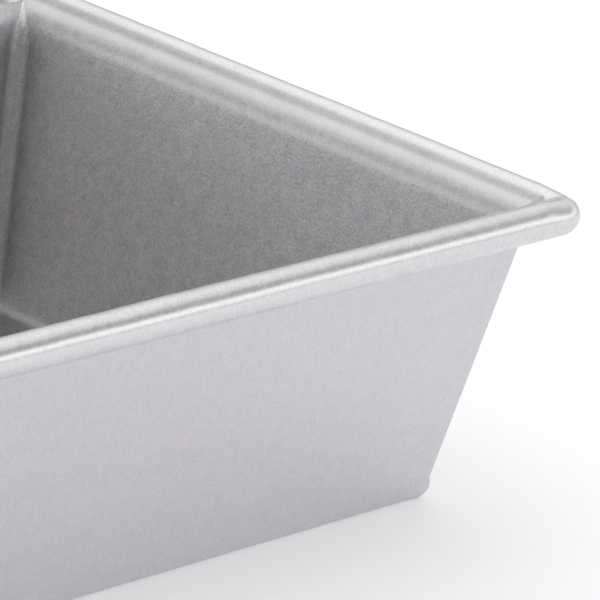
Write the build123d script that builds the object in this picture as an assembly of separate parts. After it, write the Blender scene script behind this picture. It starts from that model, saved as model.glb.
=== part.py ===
"""Commercial loaf pan: one folded sheet with a rim rolled over a steel wire.

Millimetres, +Z up.  The origin is the middle of the underside, +X runs along the pan's length.
The sheet is cut from one blank: the four walls fold up, the spare sheet at each corner folds flat
against the outside of an end wall, and the top edge is rolled outwards round the rim wire.
"""
import os
from math import cos, radians, sin, tan

from build123d import *

# ---- driving dimensions -------------------------------------------------------------------------
INSIDE_LENGTH = 235.0       # between the end walls, at the height of the rim
INSIDE_WIDTH = 131.5        # between the long walls, at the height of the rim
OVERALL_HEIGHT = 63.5       # underside to the top of the rolled rim
WALL_LEAN = 8.5             # degrees, every wall leans outwards from upright
SHEET = 0.8                 # thickness of the aluminised steel sheet
FLOOR_BEND = 0.8            # inside radius where the floor turns up into the walls

WIRE_DIAMETER = 5.4         # steel wire inside the rolled rim
WIRE_GAP = 0.05             # all round, between the wire and the sheet rolled over it
WIRE_BUTT_GAP = 0.5         # between the two cut ends of the wire
WIRE_CORNER = 4.0           # radius of the wire's centre line round each corner, seen from above
ROLL_OFFSET = 5.8           # wire centre to the plane of the wall's inside face, at rim height
ROLL_END = 240.0            # degrees round the wire, from the top of the roll to the cut edge
FLARE_ANGLE = 45.0          # degrees from upright, sheet between the wall and the roll
FLARE_BEND = 6.0            # radius where the wall starts to flare
RIM_BAND = 10.0             # height of the rim section, which the flare bend has to fit inside

FOLD_LAYERS = 2             # sheet layers in each folded corner
FOLD_SETBACK = 0.1          # crease of the fold stands back from the long wall's outside face
FOLD_ROLL_GAP = 0.3         # below the roll, to the top of the folded corner
FOLD_CORNER_RADIUS = 3.0    # rounding of the fold's far top corner
LUG_REACH = 2.6             # lug at the foot of the fold, outwards from the end wall
LUG_RADIUS = 1.7            # rounding of the lug
LUG_DEPTH = 3.2             # lug, along the end wall

# ---- values that follow from them ---------------------------------------------------------------
LEAN = tan(radians(WALL_LEAN))
FLARE = tan(radians(FLARE_ANGLE))
SHEET_ACROSS = SHEET / cos(radians(WALL_LEAN))          # level distance through a leaning wall
ROLL_RADIUS = WIRE_DIAMETER / 2 + WIRE_GAP + SHEET      # outside of the roll
BAND_BASE = OVERALL_HEIGHT - RIM_BAND                   # height where the rim section starts
FOLD_TOP = OVERALL_HEIGHT - 2 * ROLL_RADIUS - FOLD_ROLL_GAP
FOLD_THICKNESS = FOLD_LAYERS * SHEET
ROLL_CENTRE = (WIRE_CORNER, OVERALL_HEIGHT - ROLL_RADIUS)
WALL_AT_RIM = WIRE_CORNER - ROLL_OFFSET                 # wall's inside face, in the rim section


def outer_half(inside, height):
    """Half the size over the outside of two facing walls, at a height above the underside."""
    return inside / 2 + SHEET_ACROSS - LEAN * (OVERALL_HEIGHT - height)


# ---- tub -----------------------------------------------------------------------------------------


def wall_level(height, inset):
    """Rectangle at one height that follows the walls' outside faces, moved inwards by inset."""
    length = 2 * (outer_half(INSIDE_LENGTH, height) - inset)
    width = 2 * (outer_half(INSIDE_WIDTH, height) - inset)
    return Plane.XY.offset(height) * Rectangle(length, width)


def leaning_block(base, inset, base_bend):
    """Solid block inside the leaning walls, up to the rim section, with its lowest edges rounded."""
    block = loft([wall_level(base, inset), wall_level(BAND_BASE, inset)])
    lowest_face = block.faces().sort_by(Axis.Z)[0]
    return fillet(lowest_face.edges(), base_bend)


def make_tub():
    """Floor and four walls, up to the start of the rim section."""
    outside = leaning_block(0, 0, FLOOR_BEND + SHEET)
    inside = leaning_block(SHEET, SHEET_ACROSS, FLOOR_BEND)
    return outside - inside


# ---- rim -----------------------------------------------------------------------------------------
# The rim section is drawn with X outwards from the upright axis that the wire bends round at a
# corner, and Y up.  Outwards of that axis the rim is turned round the corner.  Inwards of it the
# flared walls of two sides meet at a mitre.


def rim_line(side):
    """One face of the sheet in the rim section: up the wall, out along the flare, round the wire.

    side is the distance from the middle of the sheet, positive towards the inside of the pan."""
    wall = WALL_AT_RIM + (SHEET / 2 - side) / cos(radians(WALL_LEAN))
    start = (wall - LEAN * RIM_BAND, BAND_BASE)
    radius = ROLL_RADIUS - SHEET / 2 + side
    flare_top = ROLL_CENTRE[0] - radius * cos(radians(FLARE_ANGLE))
    flare_height = ROLL_CENTRE[1] + radius * sin(radians(FLARE_ANGLE))
    flare_drop = OVERALL_HEIGHT - flare_height
    knee_drop = (flare_top + FLARE * flare_drop - wall) / (FLARE - LEAN)
    knee = (wall - LEAN * knee_drop, OVERALL_HEIGHT - knee_drop)
    climb = FilletPolyline(start, knee, (flare_top, flare_height), radius=FLARE_BEND + side)
    turn = 90 - FLARE_ANGLE + ROLL_END
    roll = CenterArc(ROLL_CENTRE, radius, 180 - FLARE_ANGLE, -turn)
    return climb + roll


def sheet_section():
    """The whole thickness of the sheet in the rim section."""
    inner = rim_line(SHEET / 2)
    outer = rim_line(-SHEET / 2)
    foot = Line(inner @ 0, outer @ 0)
    cut_edge = Line(inner @ 1, outer @ 1)
    return make_face(inner.edges() + outer.edges() + [foot, cut_edge])


def wire_section():
    """Round section of the rim wire, in its place in the rim section."""
    return Pos(*ROLL_CENTRE) * Circle(WIRE_DIAMETER / 2)


def mitred_plan(out, along):
    """Block that trims one side's run: square outwards of the corner axes, mitred inwards."""
    depth = RIM_BAND
    ends = [(out + depth, along), (out, along), (out - depth, along - depth)]
    mirrored = [(x, -y) for x, y in reversed(ends)]
    plan = make_face(Polyline(*ends, *mirrored, close=True))
    return extrude(plan, OVERALL_HEIGHT + SHEET)


def carry_round(section):
    """Carry a section round the four sides and the four corners of the rim."""
    corner_x = outer_half(INSIDE_LENGTH, OVERALL_HEIGHT) - SHEET_ACROSS - WALL_AT_RIM
    corner_y = outer_half(INSIDE_WIDTH, OVERALL_HEIGHT) - SHEET_ACROSS - WALL_AT_RIM
    outwards = section & Pos(RIM_BAND, OVERALL_HEIGHT) * Rectangle(2 * RIM_BAND, 2 * OVERALL_HEIGHT)
    pieces = []
    for quarter in range(4):
        out, along = (corner_x, corner_y) if quarter % 2 == 0 else (corner_y, corner_x)
        turned = Rot(0, 0, 90 * quarter)
        upright = turned * Pos(out, along, 0) * Rot(90, 0, 0)
        run = extrude(upright * section, 2 * along)
        pieces.append(run & turned * mitred_plan(out, along))
        corner_axis = Axis(upright.position, (0, 0, 1))
        pieces.append(revolve(upright * outwards, corner_axis, 90))
    return pieces


def fuse_all(pieces):
    """One solid from pieces that meet face to face."""
    first, *rest = pieces
    return first.fuse(*rest).clean()


def make_pan_body():
    """The folded sheet: tub and rolled rim in one piece."""
    return fuse_all([make_tub()] + carry_round(sheet_section()))


def make_rim_wire():
    """One length of wire bent round the rim, its ends meeting in the middle of the rear side."""
    rear = outer_half(INSIDE_WIDTH, OVERALL_HEIGHT)
    butt_gap = Pos(0, rear, OVERALL_HEIGHT) * Box(WIRE_BUTT_GAP, rear, OVERALL_HEIGHT)
    return fuse_all(carry_round(wire_section())) - butt_gap


# ---- folded corners --------------------------------------------------------------------------------


def fold_outline():
    """Outline of a folded corner in the plane of an end wall, from the foot of its crease.

    X runs along the wall away from the long wall, Y up the slope of the wall."""
    slope_height = FOLD_TOP / cos(radians(WALL_LEAN))
    crease_top = FOLD_SETBACK - LEAN * FOLD_TOP
    far_top = slope_height * tan(radians(45 - 2 * WALL_LEAN))
    far_corner = (far_top, slope_height)
    outline = make_face(
        Polyline((FOLD_SETBACK, 0), far_corner, (crease_top, slope_height), close=True)
    )
    return fillet(outline.vertices().sort_by(Axis.X)[-1], FOLD_CORNER_RADIUS)


def fold_lug():
    """Rounded lug at the foot of the crease, where the folded layers gather."""
    side_view = Plane(origin=(0, FOLD_SETBACK, 0), x_dir=(1, 0, 0), z_dir=(0, -1, 0))
    length = LUG_REACH + FOLD_THICKNESS
    strap = Pos(LUG_REACH - length / 2, LUG_RADIUS) * SlotOverall(length, 2 * LUG_RADIUS)
    return extrude(side_view * strap, -LUG_DEPTH)


def make_front_right_fold():
    """Spare sheet of one corner, folded flat against the outside of the end wall."""
    corner = Pos(outer_half(INSIDE_LENGTH, 0), -outer_half(INSIDE_WIDTH, 0), 0)
    slope = (cos(radians(WALL_LEAN)), 0, -sin(radians(WALL_LEAN)))
    wall_face = Plane(origin=(0, 0, 0), x_dir=(0, 1, 0), z_dir=slope)
    plate = extrude(wall_face * fold_outline(), FOLD_THICKNESS)
    pan_outside = leaning_block(0, 0, FLOOR_BEND + SHEET)
    above_table = Pos(0, 0, OVERALL_HEIGHT / 2) * Box(2 * INSIDE_LENGTH, 2 * INSIDE_WIDTH, OVERALL_HEIGHT)
    return (corner * plate.fuse(fold_lug()) - pan_outside) & above_table


def make_parts():
    """Every piece of the pan by name."""
    front_right = make_front_right_fold()
    front_left = front_right.mirror(Plane.YZ)
    return {
        "pan_body": make_pan_body(),
        "rim_wire": make_rim_wire(),
        "corner_fold_front_right": front_right,
        "corner_fold_front_left": front_left,
        "corner_fold_rear_right": front_right.mirror(Plane.XZ),
        "corner_fold_rear_left": front_left.mirror(Plane.XZ),
    }


os.makedirs("parts", exist_ok=True)
for node, solid in make_parts().items():
    export_step(solid, f"parts/{node}.step")
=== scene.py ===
"""Looks of a commercial loaf pan: folded sheet, rolled rim, folded corners and a plain studio."""
from math import cos, dist, exp, pi, radians, sin, tan

import bmesh
import bpy
from bpy.props import FloatProperty, FloatVectorProperty, IntProperty, PointerProperty
from mathutils import Matrix, Vector, noise


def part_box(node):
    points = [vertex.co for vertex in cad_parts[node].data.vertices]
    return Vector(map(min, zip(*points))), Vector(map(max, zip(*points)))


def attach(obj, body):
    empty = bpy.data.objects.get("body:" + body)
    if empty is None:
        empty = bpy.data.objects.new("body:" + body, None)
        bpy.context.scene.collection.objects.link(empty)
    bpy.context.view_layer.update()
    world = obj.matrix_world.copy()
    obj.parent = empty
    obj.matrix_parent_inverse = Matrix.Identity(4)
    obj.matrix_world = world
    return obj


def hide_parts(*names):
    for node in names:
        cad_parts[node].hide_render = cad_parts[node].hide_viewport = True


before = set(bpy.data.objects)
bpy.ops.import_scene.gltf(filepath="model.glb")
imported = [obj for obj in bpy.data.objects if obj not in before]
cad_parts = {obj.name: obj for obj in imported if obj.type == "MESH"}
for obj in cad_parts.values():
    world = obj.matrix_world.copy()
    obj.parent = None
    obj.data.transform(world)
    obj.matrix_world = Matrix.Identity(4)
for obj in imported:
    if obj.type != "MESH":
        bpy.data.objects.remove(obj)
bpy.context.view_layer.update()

bl_info = {
    "name": "Loaf pan",
    "version": (1, 0, 0),
    "blender": (4, 5, 0),
    "location": "3D View > Sidebar > Loaf pan",
    "description": "Builds a folded sheet metal loaf pan with a rolled wire rim, and its studio",
    "category": "Add Mesh",
}

MM = 0.001
BODY_LOW, BODY_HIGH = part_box("pan_body")
WIRE_LOW, WIRE_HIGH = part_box("rim_wire")
WIRE_HEIGHT = (WIRE_HIGH.z + WIRE_LOW.z) / 2
HEIGHT = BODY_HIGH.z
ROLL_RADIUS = HEIGHT - WIRE_HEIGHT
CORNERS = ((1, -1), (1, 1), (-1, 1), (-1, -1))  # signs of x and y, in order round the rim
SHARP_ANGLE = radians(40)  # edges steeper than this stay sharp
MERGE_DISTANCE = 0.0005 * MM
FLOOR_HALF_SIZE = 6.0


# ---- sizes and colours a user would change ------------------------------------------------------


def length_property(name, description, default):
    """A length in metres, given in millimetres."""
    return FloatProperty(
        name=name, description=description, default=default * MM, unit="LENGTH", precision=5
    )


class PanSizes(bpy.types.PropertyGroup):
    """Sizes of the folded sheet and its rolled rim."""

    sheet: length_property("Sheet", "Thickness of the sheet", 0.8)
    wall_lean: FloatProperty(
        name="Wall lean", description="Lean of every wall from upright",
        default=radians(8.5), subtype="ANGLE",
    )
    floor_bend: length_property("Floor bend", "Inside radius where floor meets wall", 2.6)
    outer_bend: length_property("Outer bend", "Outside radius where floor meets wall", 1.6)
    corner_bend: length_property("Corner bend", "Radius of the upright corners", 3.2)
    flare_corner: length_property("Flare corner", "Radius of the corners of the flare", 0.5)
    roll_offset: length_property("Roll offset", "Wire centre to the wall's plane", 5.8)
    wire_corner: length_property("Wire corner", "Plan radius of the wire at a corner", 4.0)
    flare_bend: length_property("Flare bend", "Radius where the wall starts to flare", 6.0)
    flare_angle: FloatProperty(
        name="Flare angle", description="Flare between wall and roll, from upright",
        default=radians(45), subtype="ANGLE",
    )
    roll_end: FloatProperty(
        name="Roll end", description="Angle round the wire, from its top to the cut edge",
        default=radians(240), subtype="ANGLE",
    )
    groove: length_property("Groove", "Depth of the hollow between flare and roll", 0.09)
    lap_step: length_property("Lap step", "Height of the lap where two rolled edges meet", 0.3)
    corner_press: length_property("Corner press", "Depth that a rim corner is flattened", 0.35)
    tongue_length: length_property("Tongue length", "Gathered sheet before a corner", 5.6)
    tongue_tip: length_property("Tongue tip", "Corner axis to the tip of the gathered sheet", 0.3)
    press_run: length_property("Press run", "Crease to where the press is deepest", 4.0)
    station_gap: length_property("Station gap", "Distance between sections along a side", 2.1)
    corner_stations: IntProperty(
        name="Corner stations", description="Sections round each half corner", default=7, min=2
    )
    roll_wobble: length_property("Roll wobble", "Unevenness of the rolled edge", 0.075)
    wall_wobble: length_property("Wall wobble", "Unevenness of the flat walls", 0.05)


class FoldSizes(bpy.types.PropertyGroup):
    """Sizes of the sheet folded against the end walls."""

    thickness: length_property("Thickness", "Two layers of sheet", 1.6)
    wrap: length_property("Wrap", "Long wall's face that the fold continues", 4.0)
    crease: length_property("Crease", "Outside radius of the folded crease", 0.9)
    lug_reach: length_property("Lug reach", "Lug out from the end wall, at the fold's foot", 2.65)
    lug_middle: length_property("Lug middle", "Height where the lug reaches furthest", 2.1)
    lug_height: length_property("Lug height", "Height of the lug", 4.4)
    lug_depth: length_property("Lug depth", "Lug, along the end wall", 3.2)
    lug_round: length_property("Lug round", "Start of the lug's rounded underside", 1.5)


class PanColours(bpy.types.PropertyGroup):
    """Colours of the bare metal; the inside and rolled-edge colours are lighter copies of the sheet
    colour, painted light.
    """

    sheet: FloatVectorProperty(
        name="Sheet", description="Reflection colour of the aluminised sheet",
        default=(0.65, 0.636, 0.67), subtype="COLOR", size=3, min=0, max=1,
    )
    # Painted light: a lighter, more neutral copy of the sheet colour for the inside walls, standing in
    # for how light falls inside the pan.
    sheet_inside_painted_light: FloatVectorProperty(
        name="Sheet inside", description="Reflection colour of the sheet's face inside the pan",
        default=(0.766, 0.752, 0.769), subtype="COLOR", size=3, min=0, max=1,
    )
    # Painted sheen: a lighter, warmer copy of the sheet colour for the rolled edge, standing in for its
    # bright warm highlight.
    sheet_rim_painted_sheen: FloatVectorProperty(
        name="Sheet rim", description="Reflection colour of the rolled edge",
        default=(0.735, 0.723, 0.727), subtype="COLOR", size=3, min=0, max=1,
    )
    wire: FloatVectorProperty(
        name="Wire", description="Reflection colour of the drawn steel wire",
        default=(0.48, 0.47, 0.46), subtype="COLOR", size=3, min=0, max=1,
    )
    wire_roughness: FloatProperty(
        name="Wire roughness", description="Roughness of the drawn wire",
        default=0.38, min=0, max=1,
    )
    sheet_roughness: FloatProperty(
        name="Sheet roughness", description="Roughness of the rolled sheet surface",
        default=0.42, min=0, max=1,
    )
    rim_roughness: FloatProperty(
        name="Rim roughness", description="Roughness of the rolled edge, burnished by the rolls",
        default=0.2, min=0, max=1,
    )


# ---- shader node groups and materials ------------------------------------------------------------

# Where the finish and the painted light change, as depths below the top of the rim: (first, last), in
# millimetres. The inside walls' painted lighter colour fades out over the second range, and the roll's
# painted lighter, warmer colour comes in over the third.
CALM_GRAIN = (8, 6)
INSIDE_FADE = (7, 3)
ROLL_PAINTED_SHEEN = (5.5, 2)
ROLL_GLOSS = (4.5, 2.5)

FLOOR_SHADE_HEIGHTS = (0.9 * MM, 2.2 * MM)  # heights between which the painted shade on the inside floor gives way to the walls
# Painted shade: the inside floor's colour is scaled by this, standing in for the shade and dark
# reflection there.
FLOOR_SHADE = 0.55
# Painted shade: the inside upright corners' colour is scaled down to this where they are deepest.
CREASE_SHADE = 0.62
SPECK_DEPTH = 0.3
GRAIN_DEPTH = 0.045 * MM


class Nodes:
    """A node tree with short calls to add and join its nodes."""

    def __init__(self, tree):
        self.tree = tree

    def add(self, kind, **values):
        """Add a node; keyword values name its attributes."""
        node = self.tree.nodes.new(kind)
        for key, value in values.items():
            setattr(node, key, value)
        return node

    def join(self, output, socket):
        """Link an output socket to an input socket."""
        self.tree.links.new(output, socket)

    def noise(self, vector, scale, detail=3.0, roughness=0.55):
        """Noise texture read at a vector, its factor returned."""
        node = self.add("ShaderNodeTexNoise")
        node.inputs["Detail"].default_value = detail
        node.inputs["Roughness"].default_value = roughness
        if isinstance(scale, (int, float)):
            node.inputs["Scale"].default_value = scale
        else:
            self.join(scale, node.inputs["Scale"])
        self.join(vector, node.inputs["Vector"])
        return node.outputs["Fac"]

    def math(self, operation, first, second, clamp=False):
        """Maths node on two values or sockets."""
        node = self.add("ShaderNodeMath", operation=operation, use_clamp=clamp)
        for socket, value in zip(node.inputs, (first, second)):
            if isinstance(value, (int, float)):
                socket.default_value = value
            else:
                self.join(value, socket)
        return node.outputs[0]

    def remap(self, value, low, high, to_low, to_high):
        """Map a value's range onto another, held at its ends."""
        node = self.add("ShaderNodeMapRange")
        self.join(value, node.inputs["Value"])
        ends = {"From Min": low, "From Max": high, "To Min": to_low, "To Max": to_high}
        for name, number in ends.items():
            if isinstance(number, (int, float)):
                node.inputs[name].default_value = number
            else:
                self.join(number, node.inputs[name])
        return node.outputs["Result"]

    def down_rim(self, height, depths, to_first, to_last):
        """Change from one value to another between two depths below the top of the rim."""
        first, last = depths
        return self.remap(height, HEIGHT - first * MM, HEIGHT - last * MM, to_first, to_last)

    def blend(self, share, first, second):
        """Mix two colours, each a socket or three numbers."""
        node = self.add("ShaderNodeMix", data_type="RGBA")
        self.join(share, node.inputs[0])
        for socket, colour in zip(node.inputs[6:8], (first, second)):
            if isinstance(colour, bpy.types.NodeSocket):
                self.join(colour, socket)
            else:
                socket.default_value = (*colour, 1)
        return node.outputs[2]


def new_group(name, inputs, outputs):
    """Empty shader node group with named float inputs and typed outputs."""
    tree = bpy.data.node_groups.new(name, "ShaderNodeTree")
    for label, default in inputs.items():
        socket = tree.interface.new_socket(label, in_out="INPUT", socket_type="NodeSocketFloat")
        socket.default_value = default
    for label, kind in outputs.items():
        tree.interface.new_socket(label, in_out="OUTPUT", socket_type=kind)
    return tree


def sheet_grain_group():
    """Fine spangle, soft mottling and rolling marks of mill-finished sheet."""
    if "Sheet grain" in bpy.data.node_groups:
        return bpy.data.node_groups["Sheet grain"]
    tree = new_group(
        "Sheet grain",
        {"Grain size (mm)": 0.5, "Mottle size (mm)": 2.2, "Marks": 1.0},
        {"Tone": "NodeSocketFloat", "Gloss": "NodeSocketFloat", "Height": "NodeSocketFloat"},
    )
    n = Nodes(tree)
    inputs = n.add("NodeGroupInput").outputs
    outputs = n.add("NodeGroupOutput").inputs
    place = n.add("ShaderNodeTexCoord").outputs["Object"]
    per_metre = 1 / MM
    grain = n.noise(place, n.math("DIVIDE", per_metre, inputs["Grain size (mm)"]), 4.0, 0.6)
    mottle = n.noise(place, n.math("DIVIDE", per_metre, inputs["Mottle size (mm)"]), 3.0, 0.55)
    cloud = n.noise(place, 28.0, 2.0, 0.5)
    streak_map = n.add("ShaderNodeMapping")
    streak_map.inputs["Scale"].default_value = (14.0, 900.0, 900.0)
    n.join(place, streak_map.inputs["Vector"])
    streak = n.noise(streak_map.outputs["Vector"], 1.0, 2.0, 0.5)
    streak = n.remap(streak, 0.62, 0.8, 0.0, inputs["Marks"])
    fine = n.remap(grain, 0.3, 0.7, 0.0, 1.0)
    broad = n.remap(mottle, 0.3, 0.7, 0.0, 1.0)
    tone = n.math("ADD", n.math("MULTIPLY", fine, 0.6), n.math("MULTIPLY", broad, 0.25))
    tone = n.math("ADD", tone, n.math("MULTIPLY", cloud, 0.15))
    n.join(n.math("SUBTRACT", tone, n.math("MULTIPLY", streak, 0.08)), outputs["Tone"])
    gloss = n.math("ADD", n.math("MULTIPLY", fine, 0.45), n.math("MULTIPLY", broad, 0.35))
    n.join(n.math("ADD", gloss, n.math("MULTIPLY", cloud, 0.2)), outputs["Gloss"])
    height = n.math("ADD", n.math("MULTIPLY", fine, 0.7), n.math("MULTIPLY", broad, 0.3))
    n.join(n.math("SUBTRACT", height, n.math("MULTIPLY", streak, 0.12)), outputs["Height"])
    return tree


def scuff_group():
    """Thin scratches in two crossing directions and small dark specks, from handling."""
    if "Handling scuffs" in bpy.data.node_groups:
        return bpy.data.node_groups["Handling scuffs"]
    tree = new_group(
        "Handling scuffs", {"Scratches": 1.0, "Specks": 1.0},
        {"Scratch": "NodeSocketFloat", "Speck": "NodeSocketFloat"},
    )
    n = Nodes(tree)
    inputs = n.add("NodeGroupInput").outputs
    outputs = n.add("NodeGroupOutput").inputs
    place = n.add("ShaderNodeTexCoord").outputs["Object"]
    total = None
    for turn, stretch in ((0.5, (30.0, 1300.0, 1300.0)), (-0.9, (1100.0, 45.0, 1100.0))):
        turned = n.add("ShaderNodeMapping")
        turned.inputs["Rotation"].default_value = (turn, turn * 0.6, turn * 1.7)
        turned.inputs["Scale"].default_value = stretch
        n.join(place, turned.inputs["Vector"])
        line = n.remap(n.noise(turned.outputs["Vector"], 1.0, 1.0), 0.74, 0.8, 0.0, 1.0)
        total = line if total is None else n.math("MAXIMUM", total, line)
    n.join(n.math("MULTIPLY", total, inputs["Scratches"]), outputs["Scratch"])
    speck = n.remap(n.noise(place, 900.0, 0.0), 0.82, 0.9, 0.0, 1.0)
    n.join(n.math("MULTIPLY", speck, inputs["Specks"]), outputs["Speck"])
    return tree


def metal_material(
    name, colours, roughness, rim_roughness, tone_span, bump=1.0, rim_bump=1.0, scratches=1.0
):
    """Bare metal: colour and roughness vary with the grain, scuffs and specks, and the colour carries
    painted shade on the inside floor and in the inside upright corners.

    colours are those of the outside, the inside and the rolled edge; the inside and rolled-edge ones are
    lighter copies of the sheet colour, painted light."""
    outside, inside, rim = colours
    material = bpy.data.materials.new(name)
    material.use_nodes = True
    n = Nodes(material.node_tree)
    shader = material.node_tree.nodes["Principled BSDF"]
    shader.inputs["Metallic"].default_value = 1.0
    grain = n.add("ShaderNodeGroup", node_tree=sheet_grain_group()).outputs
    scuff = n.add("ShaderNodeGroup", node_tree=scuff_group())
    scuff.inputs["Scratches"].default_value = scratches
    scratch, speck = scuff.outputs["Scratch"], scuff.outputs["Speck"]
    split = n.add("ShaderNodeSeparateXYZ")
    n.join(n.add("ShaderNodeTexCoord").outputs["Object"], split.inputs[0])
    height = split.outputs["Z"]
    inner_face = n.add("ShaderNodeAttribute", attribute_name="inside").outputs["Fac"]
    # The crease attribute carries the painted shade of the inside upright corners.
    crease = n.add("ShaderNodeAttribute", attribute_name="crease").outputs["Fac"]

    # Painted light: the inside walls take a lighter, more neutral copy of the sheet colour.
    inner_wall = n.math("MULTIPLY", inner_face, n.down_rim(height, INSIDE_FADE, 1.0, 0.0))
    colour = n.blend(inner_wall, outside, inside)
    # Painted sheen: the roll takes a lighter, warmer copy of the sheet colour.
    colour = n.blend(n.down_rim(height, ROLL_PAINTED_SHEEN, 0.0, 1.0), colour, rim)
    tone = n.math("SUBTRACT", grain["Tone"], n.math("MULTIPLY", speck, SPECK_DEPTH))
    contrast = n.remap(inner_wall, 0.0, 1.0, 0.8 * tone_span, 2 * tone_span)
    level = n.math("ADD", n.math("MULTIPLY", n.math("SUBTRACT", tone, 0.5), contrast), 1.0)
    # Painted shade: the inside floor is darkened.
    on_floor = n.math("MULTIPLY", inner_face, n.remap(height, *FLOOR_SHADE_HEIGHTS, 1.0, 0.0))
    level = n.math("MULTIPLY", level, n.remap(on_floor, 0.0, 1.0, 1.0, FLOOR_SHADE))
    # Painted shade: the inside upright corners are darkened.
    level = n.math("MULTIPLY", level, n.remap(crease, 0.0, 1.0, 1.0, CREASE_SHADE))
    shade = n.add("ShaderNodeVectorMath", operation="SCALE")
    n.join(colour, shade.inputs[0])
    n.join(level, shade.inputs["Scale"])
    n.join(shade.outputs[0], shader.inputs["Base Color"])

    gloss = n.remap(grain["Gloss"], 0.2, 0.8, -0.05, 0.06)
    gloss = n.math("ADD", gloss, n.down_rim(height, ROLL_GLOSS, roughness, rim_roughness))
    n.join(n.math("SUBTRACT", gloss, n.math("MULTIPLY", scratch, 0.08)), shader.inputs["Roughness"])

    relief = n.math("SUBTRACT", grain["Height"], n.math("MULTIPLY", scratch, 0.4))
    relief = n.math("MULTIPLY", relief, n.down_rim(height, CALM_GRAIN, 1.0, rim_bump))
    rise = n.add("ShaderNodeBump")
    rise.inputs["Strength"].default_value = bump
    rise.inputs["Distance"].default_value = GRAIN_DEPTH
    n.join(relief, rise.inputs["Height"])
    n.join(rise.outputs["Normal"], shader.inputs["Normal"])
    return material


def sheet_material():
    """Aluminised steel sheet, matte silver with a fine spangle."""
    known = bpy.data.materials.get("Aluminised sheet")
    if known:
        return known
    colours = bpy.context.scene.pan_colours
    return metal_material(
        "Aluminised sheet", (colours.sheet, colours.sheet_inside_painted_light, colours.sheet_rim_painted_sheen),
        colours.sheet_roughness, colours.rim_roughness,
        tone_span=0.3, rim_bump=0.12, scratches=0.0,
    )


def wire_material():
    """Drawn steel wire, duller and darker than the sheet."""
    colours = bpy.context.scene.pan_colours
    return metal_material(
        "Drawn wire", (colours.wire,) * 3, colours.wire_roughness, colours.wire_roughness,
        tone_span=0.2, bump=0.5,
    )


# ---- mesh helpers --------------------------------------------------------------------------------


def arc(centre, radius, start, turn, steps):
    """Points of an arc, both ends included."""
    angles = [start + turn * i / steps for i in range(steps + 1)]
    return [(centre[0] + radius * cos(a), centre[1] + radius * sin(a)) for a in angles]


def run(start, end, steps):
    """Points of a straight stretch, its end left out."""
    return [
        (start[0] + (end[0] - start[0]) * i / steps, start[1] + (end[1] - start[1]) * i / steps)
        for i in range(steps)
    ]


def carry_ring(bm, count, levels, settle):
    """Extrude a ring of edges from level to level, then fill its two ends.

    settle moves one level's vertices; each holds its number round the ring in the layer "place"."""
    number = bm.verts.layers.int.new("place")
    ring = [bm.verts.new((0, 0, 0)) for _ in range(count)]
    for index, vert in enumerate(ring):
        vert[number] = index
    first = edges = [bm.edges.new((a, b)) for a, b in zip(ring, ring[1:] + ring[:1])]
    settle(ring, number, 0)
    for level in range(1, levels):
        made = bmesh.ops.extrude_edge_only(bm, edges=edges)["geom"]
        settle([g for g in made if isinstance(g, bmesh.types.BMVert)], number, level)
        edges = [g for g in made if isinstance(g, bmesh.types.BMEdge) and len(g.link_faces) == 1]
    for loop in (first, edges):
        bmesh.ops.edgeloop_fill(bm, edges=loop)


def unevenness(bm, sizes):
    """Small waves that rolling and folding leave, strongest on the rolled edge."""
    bmesh.ops.recalc_face_normals(bm, faces=bm.faces)
    bm.normal_update()
    flare_foot = WIRE_HEIGHT - ROLL_RADIUS
    moves = []
    for vert in bm.verts:
        on_rim = min(1, max(0, (vert.co.z - flare_foot) / (2 * MM)))
        off_floor = min(1, max(0, (vert.co.z - 3 * MM) / (10 * MM)))
        ripple = noise.noise(vert.co * 90) + noise.noise(vert.co * 260 + Vector((7, 3, 1))) * 0.35
        slow = noise.noise(vert.co * 22 + Vector((3, 9, 5)))
        moves.append(ripple * sizes.roll_wobble * on_rim + slow * sizes.wall_wobble * off_floor)
    for vert, move in zip(bm.verts, moves):
        vert.co += vert.normal * move


def finish_piece(bm, name, node):
    """Turn a bmesh into a named piece that stands for a CAD node and rides on the pan."""
    bmesh.ops.remove_doubles(bm, verts=bm.verts, dist=MERGE_DISTANCE)
    bmesh.ops.recalc_face_normals(bm, faces=bm.faces)
    for face in bm.faces:
        face.smooth = True
    mesh = bpy.data.meshes.new(name)
    bm.to_mesh(mesh)
    bm.free()
    mesh.set_sharp_from_angle(angle=SHARP_ANGLE)
    piece = bpy.data.objects.new(name, mesh)
    bpy.context.scene.collection.objects.link(piece)
    mesh.materials.append(sheet_material())
    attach(piece, "root")
    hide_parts(node)


# ---- folded sheet and rolled rim -----------------------------------------------------------------

BEND_STEPS = 8
WALL_STEPS = 16
FLARE_STEPS = 14
ROLL_STEPS = 52
GROOVE_MIDDLE, GROOVE_SPREAD = 1.9, 1.1  # millimetres below the flare's top
CREASE_CUT = 0.15 * MM  # width of the step between the gathered sheet and the roll beyond it
TONGUE_SLOPE, TONGUE_END_SLOPE = 0.04, 3  # fall of the gathered sheet, and beyond its tip


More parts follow.
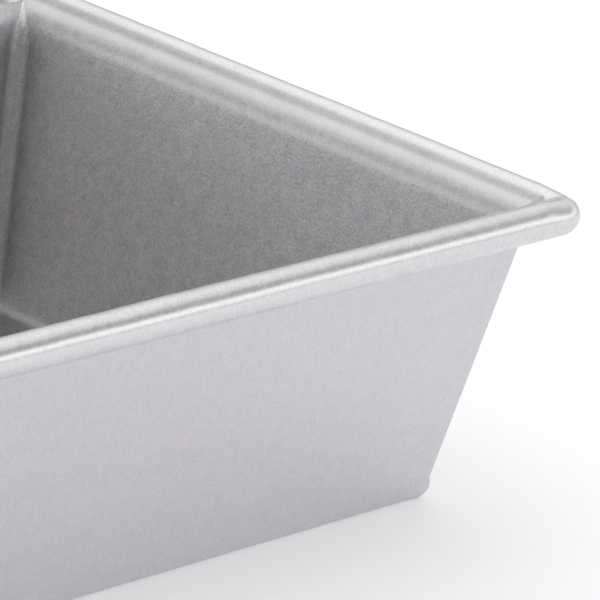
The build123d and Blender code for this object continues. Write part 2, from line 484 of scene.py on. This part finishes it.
def rim_section_points(sizes, side, roll_radius):
    """Points up one face of the sheet, from the foot of the flare bend to the cut edge.

    side is the distance from the middle of the sheet, positive towards the inside of the pan."""
    lean, flare = sizes.wall_lean, sizes.flare_angle
    centre = (sizes.wire_corner, WIRE_HEIGHT)
    radius = roll_radius - sizes.sheet / 2 + side
    wall = sizes.wire_corner - sizes.roll_offset + (sizes.sheet / 2 - side) / cos(lean)
    flare_top = (centre[0] - radius * cos(flare), centre[1] + radius * sin(flare))
    top_drop = HEIGHT - flare_top[1]
    knee_drop = (flare_top[0] + tan(flare) * top_drop - wall) / (tan(flare) - tan(lean))
    knee = (wall - tan(lean) * knee_drop, HEIGHT - knee_drop)
    bend = sizes.flare_bend + side
    tangent = bend * tan((flare - lean) / 2)
    foot = (knee[0] - tangent * sin(lean), knee[1] - tangent * cos(lean))
    bend_centre = (foot[0] + bend * cos(lean), foot[1] - bend * sin(lean))
    bend_points = arc(bend_centre, bend, pi - lean, lean - flare, BEND_STEPS)
    turn = pi / 2 - flare + sizes.roll_end
    flat = run(bend_points[-1], flare_top, FLARE_STEPS)[1:]
    longest = dist(flare_top, flat[0]) / MM
    grooved = []
    for point in flat:
        below = dist(flare_top, point) / MM
        ends = min(1, below / 0.5, (longest - below) / 0.4)
        depth = sizes.groove * ends * exp(-((below - GROOVE_MIDDLE) / GROOVE_SPREAD) ** 2)
        grooved.append((point[0] + depth * cos(flare), point[1] - depth * sin(flare)))
    return bend_points + grooved + arc(centre, radius, pi - flare, -turn, ROLL_STEPS)


def section_points(sizes, roll_radius):
    """Closed way round the sheet's section: (outwards from the corner axis, up)."""
    lean, sheet = sizes.wall_lean, sizes.sheet
    inner_rim = rim_section_points(sizes, sheet / 2, roll_radius)
    outer_rim = rim_section_points(sizes, -sheet / 2, roll_radius)
    faces = []
    for rim, level, bend in ((inner_rim, sheet, sizes.floor_bend), (outer_rim, 0, sizes.outer_bend)):
        foot = rim[0]
        wall_at_floor = foot[0] - tan(lean) * (foot[1] - level)
        tangent = bend * tan((pi / 2 - lean) / 2)
        centre = (wall_at_floor - tangent, level + bend)
        bend_points = arc(centre, bend, -pi / 2, pi / 2 - lean, BEND_STEPS)
        faces.append(bend_points[:-1] + run(bend_points[-1], foot, WALL_STEPS) + rim)
    inner, outer = faces
    return inner + outer[::-1]


def stations(sizes):
    """Places round the rim: (sign x, sign y, direction angle, share along the side, long side?).

    A share of None is a place in a corner; a share is counted from one corner to the next."""
    axis_x = BODY_HIGH.x - ROLL_RADIUS - sizes.wire_corner
    axis_y = BODY_HIGH.y - ROLL_RADIUS - sizes.wire_corner
    places = []
    for index, (sx, sy) in enumerate(CORNERS):
        before_long = index % 2 == 0
        start = -pi / 2 + index * pi / 2
        for step in range(2 * sizes.corner_stations + 1):
            angle = start + step * pi / 4 / sizes.corner_stations
            in_first = step <= sizes.corner_stations
            places.append((sx, sy, angle, None, before_long == in_first))
            if step == sizes.corner_stations:
                places.append((sx, sy, angle, None, not before_long))
        side_length = 2 * (axis_y if before_long else axis_x)
        count = round(side_length / sizes.station_gap)
        for step in range(1, count):
            places.append((sx, sy, start + pi / 2, step / count, not before_long))
    return places, axis_x, axis_y


def bend_at(sizes, height):
    """Radius of the upright corners at one height: round on the walls, tight on the flare."""
    share = min(1, max(0, (HEIGHT - height - 4 * MM) / (5 * MM)))
    return sizes.flare_corner + (sizes.corner_bend - sizes.flare_corner) * share


def place_point(sizes, place, axis_x, axis_y, point):
    """Where a section point goes at one place round the rim."""
    sx, sy, angle, share, _ = place
    outwards, up = point
    corner_bend = bend_at(sizes, up)
    radius = max(outwards, corner_bend)
    inwards = min(0, outwards - corner_bend)
    half_x, half_y = axis_x + inwards, axis_y + inwards
    centre = Vector((sx * half_x, sy * half_y, up))
    direction = Vector((cos(angle), sin(angle), 0))
    if share is not None:
        along = Vector((-direction.y, direction.x, 0))
        reach = 2 * (half_y if abs(direction.x) > 0.5 else half_x)
        centre += along * reach * share
    return centre + direction * radius


def corner_shade_share(place, up):
    """Share of painted shade at a place: deepest in an inside upright corner, faded towards the floor and
    the flare.
    """
    share, on_long_side = place[3], place[4]
    side = 2 * (BODY_HIGH.x if on_long_side else BODY_HIGH.y)
    away = 0 if share is None else min(share, 1 - share) * side
    fade = min(1, max(0, (HEIGHT - up - 5 * MM) / (6 * MM)), max(0, up / (8 * MM)))
    deepest = exp(-(away / (2.5 * MM)) ** 2)
    around = exp(-(away / (9 * MM)) ** 2)
    return fade * (0.6 * deepest + 0.4 * around)


def build_shell(sizes):
    """Carry the section round the pan: a ring of edges is extruded from point to point."""
    places, axis_x, axis_y = stations(sizes)
    long_points = section_points(sizes, ROLL_RADIUS)
    end_points = section_points(sizes, ROLL_RADIUS - sizes.lap_step)
    bm = bmesh.new()
    inside = bm.verts.layers.float.new("inside")
    # Painted shade: how much each vertex is darkened in the inside upright corners.
    crease = bm.verts.layers.float.new("crease")

    def settle(verts, number, index):
        for vert in verts:
            place = places[vert[number]]
            point = (long_points if place[4] else end_points)[index]
            vert.co = place_point(sizes, place, axis_x, axis_y, point)
            vert[inside] = 1.0 if index < len(long_points) / 2 else 0.0
            vert[crease] = vert[inside] * corner_shade_share(place, point[1])

    carry_ring(bm, len(places), len(long_points), settle)
    return bm


def tongue_height(sizes, out):
    """Top of the gathered sheet at a corner, at a distance out from the corner axis."""
    level = HEIGHT - TONGUE_SLOPE * (sizes.wire_corner - out)
    return level - TONGUE_END_SLOPE * max(0, sizes.tongue_tip - out)


def press_corners(bm, sizes):
    """Gather the long side's sheet before each corner and flatten the roll beyond a crease."""
    inset = ROLL_RADIUS + sizes.wire_corner
    axis = Vector((BODY_HIGH.x - inset, BODY_HIGH.y - inset, 0))
    inside = bm.verts.layers.float["inside"]
    for sx, sy in CORNERS:
        crease = Vector((sx * axis.x, sy * axis.y, 0))
        outwards = Vector((sx, sy, 0)).normalized()
        for back in (0, CREASE_CUT):
            faces = [f for f in bm.faces if f.calc_center_median().z > WIRE_HEIGHT]
            near = list({e for f in faces for e in f.edges} | {v for f in faces for v in f.verts})
            bmesh.ops.bisect_plane(
                bm, geom=near + faces, dist=0.01 * MM, plane_co=crease - outwards * back,
                plane_no=outwards,
            )
        for vert in bm.verts:
            if vert.co.z < WIRE_HEIGHT:
                continue
            beyond = (vert.co - crease).dot(outwards)
            if beyond > 0:
                upper = min(1, (vert.co.z - WIRE_HEIGHT) / (0.7 * ROLL_RADIUS))
                vert.co.z -= sizes.corner_press * upper * min(1, beyond / sizes.press_run)
            elif -sizes.tongue_length < beyond < -0.9 * CREASE_CUT and vert[inside] > 0.5:
                out_x, out_y = sx * vert.co.x - axis.x, sy * vert.co.y - axis.y
                if out_y > out_x and out_y < sizes.wire_corner:
                    share = 1 + beyond / sizes.tongue_length
                    vert.co.z += share * max(0, tongue_height(sizes, out_y) - vert.co.z)


# ---- folded corners ------------------------------------------------------------------------------

RING_STEPS = 8
CREASE_STEPS = 6
FOOT_LEVELS = 24
PLATE_LEVELS = 30
THINNEST = 0.1 * MM
SKIN = 0.012 * MM  # how far the fold's face stands proud of the long wall
TUCK = 0.3 * MM  # how far the fold is let into the end wall
TUCK_DEPTH = 0.35 * MM  # and into the long wall


def fold_width(sizes, fold, z):
    """How far a folded corner reaches along the end wall at one height."""
    triangle = z * (tan(pi / 4 - 2 * sizes.wall_lean) + tan(sizes.wall_lean))
    middle = fold.lug_middle
    lug = fold.lug_depth * max(0, 1 - ((z - middle) / fold.lug_height) ** 2) ** 0.5
    return max(triangle, lug)


def fold_reach(sizes, fold, z):
    """How far a folded corner stands out from the end wall at one height."""
    plate = fold.thickness / cos(sizes.wall_lean)
    middle, top = fold.lug_middle, fold.lug_height
    if z >= top:
        return plate
    if z >= middle:
        return plate + (fold.lug_reach - plate) * cos((z - middle) / (top - middle) * pi / 2)
    round_off = (1 - (1 - z / middle) ** 2) ** 0.5
    return (fold.lug_reach + fold.lug_round) * round_off - fold.lug_round


def fold_ring(sizes, fold, z):
    """Level outline of a folded corner: (out from the end wall, along it), from the long wall."""
    reach = fold_reach(sizes, fold, z)
    width = fold_width(sizes, fold, z)
    crease = min(fold.crease, width * 0.4)
    half = min(reach, fold.thickness) / 2 if reach > 2 * THINNEST else THINNEST
    bottom = sizes.outer_bend
    under = bottom - (bottom ** 2 - max(0, bottom - z) ** 2) ** 0.5
    ring = []
    for i in range(RING_STEPS + 1):
        out = -fold.wrap + (reach - crease + fold.wrap) * i / RING_STEPS
        share = min(1, max(0, (out + fold.wrap) / fold.wrap))
        ring.append((out, under * (1 - 0.75 * share) - SKIN))
    near = ring[-1][1] + crease
    ring += arc((reach - crease, near), crease, -pi / 2, pi / 2, CREASE_STEPS)[1:]
    end = max(near + THINNEST / 2, width - half)
    for i in range(1, RING_STEPS + 1):
        swell = (2 * half - reach) * (i / RING_STEPS) ** 2 if reach > 2 * half else 0
        ring.append((reach + swell, near + (end - near) * i / RING_STEPS))
    ring += arc((half, end), half, 0, pi, RING_STEPS)[1:]
    tuck = near - crease + TUCK_DEPTH
    ring += [(-TUCK, end), (-TUCK, (end + near) / 2), (-TUCK, tuck)]
    return ring + [(-fold.wrap, TUCK_DEPTH + under)]


def build_fold(sizes, fold, x_side, y_side):
    """One folded corner: a ring of edges is extruded from level to level up the end wall."""
    across = sizes.sheet / cos(sizes.wall_lean)
    wall = BODY_HIGH - Vector((1, 1, 0)) * (ROLL_RADIUS + sizes.roll_offset)
    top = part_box("corner_fold_front_right")[1].z
    foot = [fold.lug_height * (i / FOOT_LEVELS) ** 1.6 for i in range(FOOT_LEVELS + 1)]
    rise = (top - fold.lug_height) / PLATE_LEVELS
    levels = foot + [fold.lug_height + rise * i for i in range(1, PLATE_LEVELS + 1)]
    bm = bmesh.new()

    def settle(verts, number, level):
        z = levels[level]
        outline = fold_ring(sizes, fold, z)
        drop = tan(sizes.wall_lean) * (HEIGHT - z)
        for vert in verts:
            out, along = outline[vert[number]]
            x = wall.x + across - drop + out
            y = wall.y + across - drop - along
            vert.co = (x_side * x, y_side * y, z)

    carry_ring(bm, len(fold_ring(sizes, fold, top)), len(levels), settle)
    return bm


# ---- studio --------------------------------------------------------------------------------------

# Brightness of the studio on each side of the pan: (degrees above the horizon, level).
# The levels were found by a fitting program, then rounded and adjusted.
SKY_LEVELS = (
    (1, -1, ((0, 0.7), (10, 1.2), (20, 1.33), (30, 0.5), (40, 0.4), (52, 1.15), (90, 1.27))),
    (1, 1, ((0, 0.47), (10, 0.56), (20, 0.8), (30, 0.97), (40, 1.13), (52, 1.2), (90, 1.27))),
    (-1, 1, ((0, 0.4), (10, 1.1), (20, 0.8), (28, 0.3), (36, 0.22), (44, 0.65), (52, 1.1), (90, 1.27))),
    (-1, -1, ((0, 0.7), (10, 0.55), (20, 0.0), (30, 0.25), (40, 0.55), (52, 0.75), (90, 1.27))),
)


def floor_material():
    """Plain pale paper floor, seen through from below."""
    material = bpy.data.materials.new("Studio floor")
    material.use_nodes = True
    tree = material.node_tree
    n = Nodes(tree)
    paper = tree.nodes["Principled BSDF"]
    paper.inputs["Base Color"].default_value = (0.93, 0.93, 0.935, 1)
    paper.inputs["Roughness"].default_value = 0.9
    paper.inputs["Specular IOR Level"].default_value = 0.1
    paper.inputs["Emission Color"].default_value = (1, 1, 1, 1)
    paper.inputs["Emission Strength"].default_value = 0.22
    clear = n.add("ShaderNodeBsdfTransparent")
    mix = n.add("ShaderNodeMixShader")
    n.join(n.add("ShaderNodeNewGeometry").outputs["Backfacing"], mix.inputs["Fac"])
    n.join(paper.outputs[0], mix.inputs[1])
    n.join(clear.outputs[0], mix.inputs[2])
    n.join(mix.outputs[0], tree.nodes["Material Output"].inputs["Surface"])
    return material


def make_floor():
    """Flat floor just under the pan."""
    bm = bmesh.new()
    bmesh.ops.create_grid(bm, x_segments=2, y_segments=2, size=FLOOR_HALF_SIZE)
    mesh = bpy.data.meshes.new("studio_floor")
    bm.to_mesh(mesh)
    bm.free()
    mesh.materials.append(floor_material())
    floor = bpy.data.objects.new("studio_floor", mesh)
    bpy.context.scene.collection.objects.link(floor)


def make_world():
    """Soft light from all round the pan, set by side and by height above the horizon."""
    world = bpy.data.worlds.new("Studio")
    bpy.context.scene.world = world
    world.use_nodes = True
    n = Nodes(world.node_tree)
    background = world.node_tree.nodes["Background"]
    direction = n.add("ShaderNodeTexCoord").outputs["Generated"]
    split = n.add("ShaderNodeSeparateXYZ")
    n.join(direction, split.inputs[0])
    height = n.math("DIVIDE", n.math("ARCSINE", split.outputs["Z"], 0), pi / 2, clamp=True)
    flat_squared = n.math("ADD", n.math("MULTIPLY", split.outputs["X"], split.outputs["X"]), 1e-6)
    flat_squared = n.math("ADD", flat_squared, n.math("MULTIPLY", split.outputs["Y"], split.outputs["Y"]))
    total = None
    for x_side, y_side, side_levels in SKY_LEVELS:
        along_x = n.math("MULTIPLY", split.outputs["X"], x_side * 0.5 ** 0.5)
        along_y = n.math("MULTIPLY", split.outputs["Y"], y_side * 0.5 ** 0.5)
        reach = n.math("ADD", along_x, along_y)
        share = n.math("POWER", n.math("MAXIMUM", reach, 0), 2)
        share = n.math("DIVIDE", share, flat_squared)
        ramp = n.add("ShaderNodeValToRGB")
        n.join(height, ramp.inputs["Fac"])
        elements = ramp.color_ramp.elements
        while len(elements) < len(side_levels):
            elements.new(0.5)
        for element, (elevation, value) in zip(elements, side_levels):
            element.position = elevation / 90
            element.color = (value, value, value, 1)
        lit = n.math("MULTIPLY", ramp.outputs["Color"], share)
        total = lit if total is None else n.math("ADD", total, lit)
    n.join(total, background.inputs["Color"])


def make_camera():
    """Long lens on the front right corner of the rim, from the front left and a little tilted.

    Its angles, aim and lens were found by a fitting program."""
    azimuth, elevation, tilt = radians(-51.03), radians(19.49), radians(8.05)
    distance = 1.2
    aim = Vector((85.93, -40.36, 38.93)) * MM
    back = Vector((sin(azimuth) * cos(elevation), -cos(azimuth) * cos(elevation), sin(elevation)))
    camera = bpy.data.cameras.new("Camera")
    camera.lens = 386.3
    camera.sensor_width = 36
    camera.clip_start, camera.clip_end = 0.05, 50
    eye = bpy.data.objects.new("Camera", camera)
    eye.location = aim + back * distance
    eye.rotation_mode = "QUATERNION"
    level = (-back).to_track_quat("-Z", "Y")
    eye.rotation_quaternion = level @ Matrix.Rotation(tilt, 3, "Z").to_quaternion()
    bpy.context.scene.collection.objects.link(eye)
    bpy.context.scene.camera = eye


# ---- operators -----------------------------------------------------------------------------------


class LOAFPAN_OT_body(bpy.types.Operator):
    """Build the folded sheet with its rolled rim"""

    bl_idname = "loafpan.body"
    bl_label = "Pan body"

    def execute(self, context):
        sizes = context.scene.pan_sizes
        bm = build_shell(sizes)
        press_corners(bm, sizes)
        unevenness(bm, sizes)
        finish_piece(bm, "pan_shell", "pan_body")
        return {"FINISHED"}


class LOAFPAN_OT_rim_wire(bpy.types.Operator):
    """Give the rim wire its metal"""

    bl_idname = "loafpan.rim_wire"
    bl_label = "Rim wire"

    def execute(self, context):
        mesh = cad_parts["rim_wire"].data
        mesh.materials.clear()
        mesh.materials.append(wire_material())
        return {"FINISHED"}


class LOAFPAN_OT_corner_folds(bpy.types.Operator):
    """Build the four folded corners"""

    bl_idname = "loafpan.corner_folds"
    bl_label = "Corner folds"

    def execute(self, context):
        sizes, fold = context.scene.pan_sizes, context.scene.fold_sizes
        for y_name, y_side in (("front", -1), ("rear", 1)):
            for x_name, x_side in (("left", -1), ("right", 1)):
                bm = build_fold(sizes, fold, x_side, y_side)
                unevenness(bm, sizes)
                name = f"{y_name}_{x_name}"
                finish_piece(bm, f"fold_{name}", f"corner_fold_{name}")
        return {"FINISHED"}


class LOAFPAN_OT_studio(bpy.types.Operator):
    """Add the floor, the soft light and the camera"""

    bl_idname = "loafpan.studio"
    bl_label = "Studio"

    def execute(self, context):
        context.scene.view_settings.view_transform = "Standard"
        make_floor()
        make_world()
        make_camera()
        return {"FINISHED"}


class LOAFPAN_PT_panel(bpy.types.Panel):
    """Lists the pan's pieces and its sizes"""

    bl_idname = "LOAFPAN_PT_panel"
    bl_label = "Loaf pan"
    bl_space_type = "VIEW_3D"
    bl_region_type = "UI"
    bl_category = "Loaf pan"

    def draw(self, context):
        for step in STEPS:
            self.layout.operator(step.bl_idname)
        for group in (context.scene.pan_sizes, context.scene.fold_sizes, context.scene.pan_colours):
            for name in group.__annotations__:
                self.layout.prop(group, name)


GROUPS = {"pan_sizes": PanSizes, "fold_sizes": FoldSizes, "pan_colours": PanColours}
STEPS = (LOAFPAN_OT_body, LOAFPAN_OT_rim_wire, LOAFPAN_OT_corner_folds, LOAFPAN_OT_studio)


def register():
    """Register every class and hang the property groups on the scene."""
    for name, group in GROUPS.items():
        bpy.utils.register_class(group)
        setattr(bpy.types.Scene, name, PointerProperty(type=group))
    for kind in (*STEPS, LOAFPAN_PT_panel):
        bpy.utils.register_class(kind)


def unregister():
    """Undo register."""
    for kind in (LOAFPAN_PT_panel, *reversed(STEPS)):
        bpy.utils.unregister_class(kind)
    for name, group in GROUPS.items():
        delattr(bpy.types.Scene, name)
        bpy.utils.unregister_class(group)


def main():
    """Build everything in order."""
    register()
    bpy.ops.loafpan.body()
    bpy.ops.loafpan.rim_wire()
    bpy.ops.loafpan.corner_folds()
    bpy.ops.loafpan.studio()


if __name__ == "__main__":
    main()
